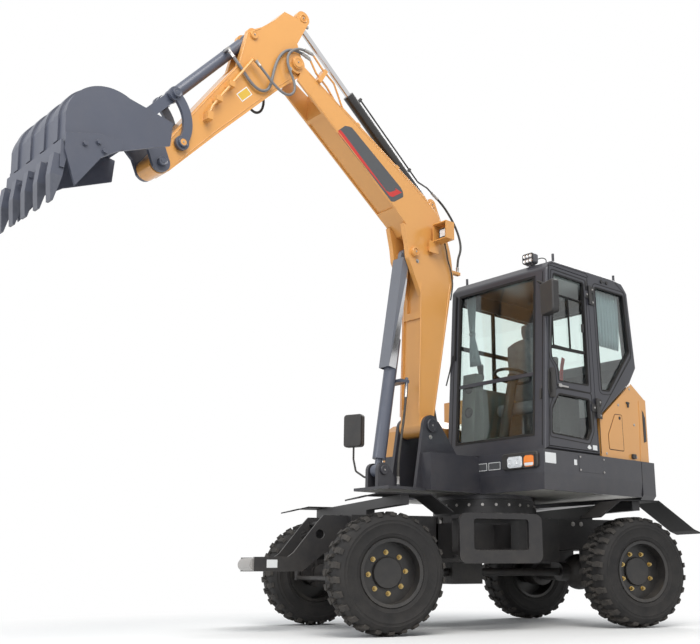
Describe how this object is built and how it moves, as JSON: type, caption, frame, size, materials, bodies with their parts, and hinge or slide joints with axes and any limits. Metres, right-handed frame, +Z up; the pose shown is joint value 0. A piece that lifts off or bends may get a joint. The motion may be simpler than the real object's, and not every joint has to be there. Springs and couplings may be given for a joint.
{
  "type": "wheeled excavator",
  "caption": "Compact wheeled excavator with slewing cab, one-piece boom, arm and toothed bucket on a two-axle steered chassis",
  "frame": {"origin": "on the ground under the middle of the machine's bounding box, wheels resting at z = 0", "axes": "+X forward along the chassis, +Y to the machine's left, +Z up; the upper structure rests turned 19.9 degrees to the left"},
  "size_m": [5.5594, 3.0274, 4.6996],
  "materials": {
    "body_orange": "semi-gloss orange-yellow paint",
    "body_dark": "dark grey satin paint",
    "chassis_black": "black chassis paint",
    "guard_black": "black sheet",
    "rim_black": "black paint",
    "tyre": "dusty rubber",
    "tool_grey": "blue-grey paint",
    "rod_chrome": "hard chrome",
    "glass": "green tinted safety glass",
    "seat_cloth": "patterned seat cloth",
    "cab_plastic": "textured black plastic",
    "engine_iron": "plain casting",
    "hose_rubber": "braided rubber hose"
  },
  "bodies": {
    "chassis": {"chassis_frame": "chassis_black", "slew_ring": "chassis_black", "front_axle": "chassis_black", "rear_axle": "chassis_black", "drive_line": "chassis_black", "front_bracket": "chassis_black", "mudguards": "guard_black", "steps": "chassis_black"},
    "knuckle_left": {"knuckle_l": "chassis_black"},
    "knuckle_right": {"knuckle_r": "chassis_black"},
    "steering": {"steering_rod": "chassis_black"},
    "wheel_fl": {"rim_fl": "rim_black", "tyre_fl": "tyre"},
    "wheel_fr": {"rim_fr": "rim_black", "tyre_fr": "tyre"},
    "wheel_rl": {"rim_rl": "rim_black", "tyre_rl": "tyre"},
    "wheel_rr": {"rim_rr": "rim_black", "tyre_rr": "tyre"},
    "upper": {"upper_frame": "body_dark", "skirts": "body_dark", "counterweight": "body_dark", "engine_hood": "body_orange", "side_hood": "body_orange", "engine_block": "engine_iron", "cab_frame": "body_dark", "cab_glass": "glass", "seat": "seat_cloth", "cab_controls": "cab_plastic", "mirrors": "cab_plastic", "lamps": "cab_plastic", "boom_cylinder_hose_l": "hose_rubber", "boom_cylinder_hose_r": "hose_rubber", "foot_hose_l": "hose_rubber", "foot_hose_r": "hose_rubber"},
    "cab_door": {"door": "body_dark", "door_glass": "glass"},
    "boom_body": {"boom": "body_orange", "arm_cylinder_hose": "hose_rubber", "arm_hose_a": "hose_rubber", "arm_hose_b": "hose_rubber", "arm_hose_c": "hose_rubber"},
    "boom_tube": {"boom_barrel": "tool_grey"},
    "boom_piston": {"boom_rod": "rod_chrome"},
    "arm_body": {"arm": "body_orange"},
    "arm_tube": {"arm_barrel": "tool_grey"},
    "arm_piston": {"arm_rod": "rod_chrome"},
    "bucket_body": {"bucket": "tool_grey"},
    "bucket_tube": {"bucket_barrel": "tool_grey"},
    "bucket_piston": {"bucket_rod": "rod_chrome"},
    "side_link_pair": {"side_links": "tool_grey"},
    "tipping": {"tipping_link": "tool_grey"}
  },
  "joints": [
    {"name": "slew", "type": "hinge", "parent": "chassis", "child": "upper", "pos_m": [-1.167, -0.234, 0.961], "axis": [0, 0, 1], "continuous": true},
    {"name": "steer_left", "type": "hinge", "parent": "chassis", "child": "knuckle_left", "pos_m": [0.073, 0.406, 0.4225], "axis": [0, 0, 1], "range_deg": [-30, 30]},
    {"name": "steer_right", "type": "hinge", "parent": "chassis", "child": "knuckle_right", "pos_m": [0.073, -0.874, 0.4225], "axis": [0, 0, 1], "range_deg": [-30, 30]},
    {"name": "steering_travel", "type": "slide", "parent": "chassis", "child": "steering", "axis": [0, 1, 0], "range_m": [-0.1, 0.1]},
    {"name": "spin_fl", "type": "hinge", "parent": "knuckle_left", "child": "wheel_fl", "pos_m": [0.073, 0.586, 0.4225], "axis": [0, 1, 0], "continuous": true},
    {"name": "spin_fr", "type": "hinge", "parent": "knuckle_right", "child": "wheel_fr", "pos_m": [0.073, -1.054, 0.4225], "axis": [0, 1, 0], "continuous": true},
    {"name": "spin_rl", "type": "hinge", "parent": "chassis", "child": "wheel_rl", "pos_m": [-2.047, 0.586, 0.4225], "axis": [0, 1, 0], "continuous": true},
    {"name": "spin_rr", "type": "hinge", "parent": "chassis", "child": "wheel_rr", "pos_m": [-2.047, -1.054, 0.4225], "axis": [0, 1, 0], "continuous": true},
    {"name": "door_swing", "type": "hinge", "parent": "upper", "child": "cab_door", "pos_m": [-1.84054, 0.50379, 2.215], "axis": [0.0299, 0.0108, 0.9995], "range_deg": [0, 150]},
    {"name": "boom_lift", "type": "hinge", "parent": "upper", "child": "boom_body", "pos_m": [-0.42887, 0.0332, 1.55], "axis": [0.3404, -0.9403, 0], "range_deg": [-70, 4], "deforming": ["boom_cylinder_hose_l", "boom_cylinder_hose_r", "foot_hose_l", "foot_hose_r"]},
    {"name": "boom_tube_swing", "type": "hinge", "parent": "upper", "child": "boom_tube", "pos_m": [-0.02925, 0.17786, 1.178], "axis": [0.3404, -0.9403, 0], "range_deg": [-60, 4]},
    {"name": "boom_piston_slide", "type": "slide", "parent": "boom_tube", "child": "boom_piston", "axis": [-0.1492, -0.054, 0.9873], "range_m": [-0.6, 0.05]},
    {"name": "arm_swing", "type": "hinge", "parent": "boom_body", "child": "arm_body", "pos_m": [0.87155, 0.50394, 4.21], "axis": [-0.3404, 0.9403, 0], "range_deg": [-65, 48], "deforming": ["arm_hose_a", "arm_hose_b", "arm_hose_c", "arm_cylinder_hose"]},
    {"name": "arm_tube_swing", "type": "hinge", "parent": "boom_body", "child": "arm_tube", "pos_m": [-0.53701, -0.00595, 3.48], "axis": [-0.3404, 0.9403, 0], "range_deg": [-6, 6]},
    {"name": "arm_piston_slide", "type": "slide", "parent": "arm_tube", "child": "arm_piston", "axis": [0.7302, 0.2643, 0.63], "range_m": [-0.42, 0.31]},
    {"name": "bucket_curl", "type": "hinge", "parent": "arm_body", "child": "bucket_body", "pos_m": [1.87671, 0.86781, 3.053], "axis": [-0.3404, 0.9403, 0], "range_deg": [-4, 150]},
    {"name": "bucket_tube_swing", "type": "hinge", "parent": "arm_body", "child": "bucket_tube", "pos_m": [1.22885, 0.63329, 4.3], "axis": [-0.3404, 0.9403, 0], "range_deg": [-1, 3]},
    {"name": "bucket_piston_slide", "type": "slide", "parent": "bucket_tube", "child": "bucket_piston", "axis": [0.609, 0.2204, -0.7619], "range_m": [-0.02, 0.62]},
    {"name": "side_link_swing", "type": "hinge", "parent": "arm_body", "child": "side_link_pair", "pos_m": [1.73849, 0.81777, 3.24], "axis": [-0.3404, 0.9403, 0], "range_deg": [-5, 120]},
    {"name": "tipping_swing", "type": "hinge", "parent": "bucket_body", "child": "tipping", "pos_m": [1.99707, 0.91138, 3.345], "axis": [-0.3404, 0.9403, 0], "range_deg": [-95, 5]}
  ],
  "couplings": [
    {"joint": "steer_right", "follows": "steer_left", "ratio": 1},
    {"joint": "steering_travel", "follows": "steer_left", "m_per_rad": 0.185},
    {"joint": "boom_tube_swing", "follows": "boom_lift", "ratio": 0.8522},
    {"joint": "boom_piston_slide", "follows": "boom_lift", "m_per_rad": 0.486},
    {"joint": "arm_tube_swing", "follows": "arm_swing", "ratio": 0.0849},
    {"joint": "arm_piston_slide", "follows": "arm_swing", "m_per_rad": 0.366},
    {"joint": "bucket_tube_swing", "follows": "bucket_curl", "ratio": 0.015},
    {"joint": "bucket_piston_slide", "follows": "bucket_curl", "m_per_rad": 0.235},
    {"joint": "side_link_swing", "follows": "bucket_curl", "ratio": 0.785},
    {"joint": "tipping_swing", "follows": "bucket_curl", "ratio": -0.62}
  ]
}
